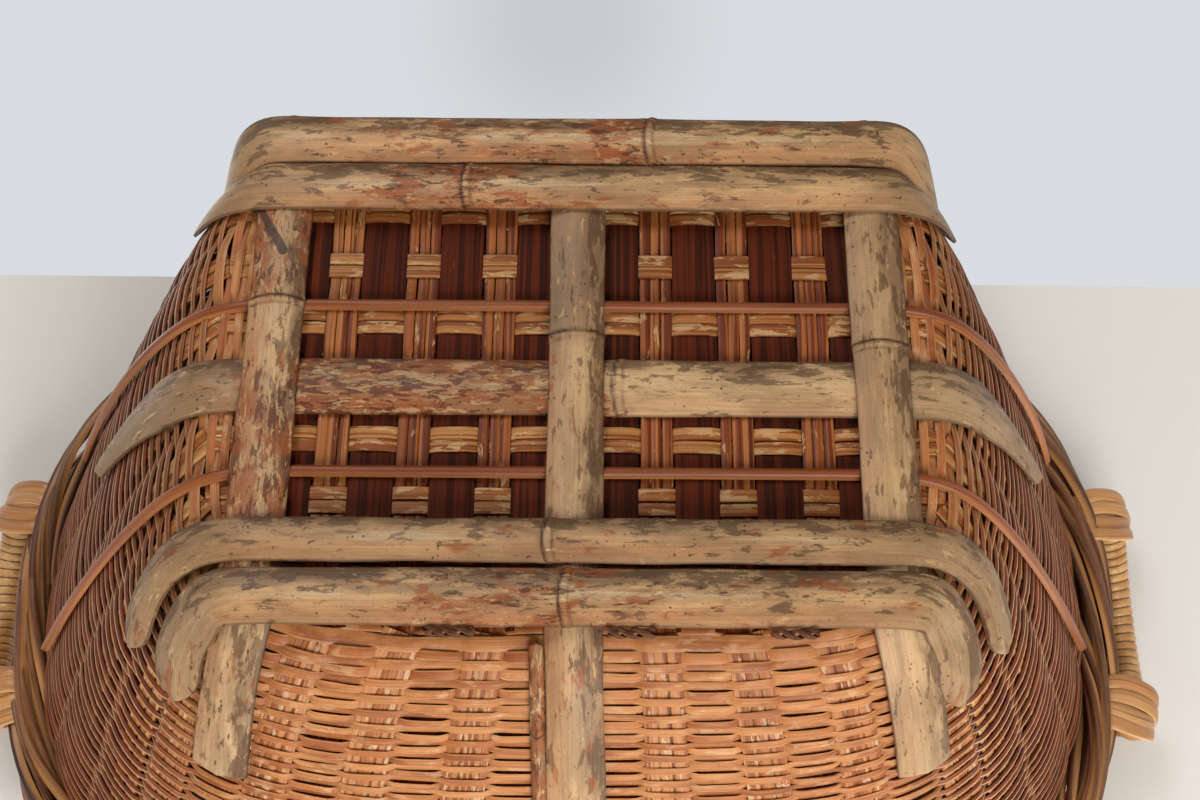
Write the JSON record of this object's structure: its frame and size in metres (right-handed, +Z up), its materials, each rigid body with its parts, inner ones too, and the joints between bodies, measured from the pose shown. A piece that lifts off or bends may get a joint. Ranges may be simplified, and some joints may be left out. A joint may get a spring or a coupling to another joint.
{
  "type": "lidded wicker creel",
  "caption": "Oval woven bamboo creel on a lath-braced rectangular base, with a twined border, wrapped ear handles, a rear-hinged lid and a loop-and-toggle latch.",
  "frame": {"origin": "centre of the overall box in plan, at the lowest laths, on which the upright creel stands", "axes": "+Z up, X along the creel's length, -Y its front with the latch, +Y the hinged back"},
  "size_m": [0.4786, 0.3354, 0.1738],
  "materials": {
    "bamboo": "split bamboo lath, satin, worn and stained",
    "cane": "thin rattan strip, orange brown, satin",
    "border_cane": "half-round cane, red brown with tan worn edges, satin",
    "dark_stake": "dark brown split bamboo, matt, grainy",
    "light_stake": "light split bamboo, satin",
    "weave": "fine woven cane, red brown, satin with worn highlights",
    "wrap_cane": "glossy rattan peel wrapping",
    "turned_wood": "smooth worn cane rod, satin",
    "loop_cane": "bent cane loop, satin"
  },
  "bodies": {
    "basket": {"wall_weave": "weave", "base_stakes_dark": "dark_stake", "base_stakes_light": "light_stake", "base_cross_stakes": "light_stake", "long_slat_left": "bamboo", "long_slat_centre": "bamboo", "long_slat_right": "bamboo", "centre_side_strip": "cane", "cross_band_middle": "bamboo", "end_band_back_outer": "bamboo", "end_band_back_inner": "bamboo", "end_band_front_inner": "bamboo", "end_band_front_outer": "bamboo", "rattan_strip_back": "cane", "rattan_strip_front": "cane", "slat_ties": "cane", "border_strand_low": "border_cane", "border_strand_mid": "border_cane", "border_strand_high": "border_cane", "border_strand_outer_low": "border_cane", "border_strand_outer_high": "border_cane", "rim_hoop_inner": "bamboo", "rim_cap": "border_cane", "handle_left_core": "cane", "handle_left_wrap": "wrap_cane", "handle_left_lashings": "wrap_cane", "handle_right_core": "cane", "handle_right_wrap": "wrap_cane", "handle_right_lashings": "wrap_cane", "hinge_rod": "turned_wood", "hinge_saddles": "loop_cane", "latch_eyes": "loop_cane"},
    "lid": {"lid_weave": "weave", "lid_hoop": "border_cane", "lid_battens": "bamboo", "lid_hole_frame": "loop_cane", "lid_hinge_loops": "loop_cane", "latch_stalk": "turned_wood"},
    "bail": {"latch_bail": "loop_cane"},
    "toggle": {"latch_toggle": "turned_wood"}
  },
  "joints": [
    {"name": "lid_hinge", "type": "hinge", "parent": "basket", "child": "lid", "pos_m": [0, 0.16098, 0.15378], "axis": [-1, 0, 0], "range_deg": [0, 110]},
    {"name": "bail_swing", "type": "hinge", "parent": "basket", "child": "bail", "pos_m": [0, -0.15808, 0.139], "axis": [-1, 0, 0], "range_deg": [-4, 176]},
    {"name": "toggle_turn", "type": "hinge", "parent": "lid", "child": "toggle", "pos_m": [0, -0.16, 0.1566], "axis": [0, -1, 0], "range_deg": [-90, 90]}
  ]
}
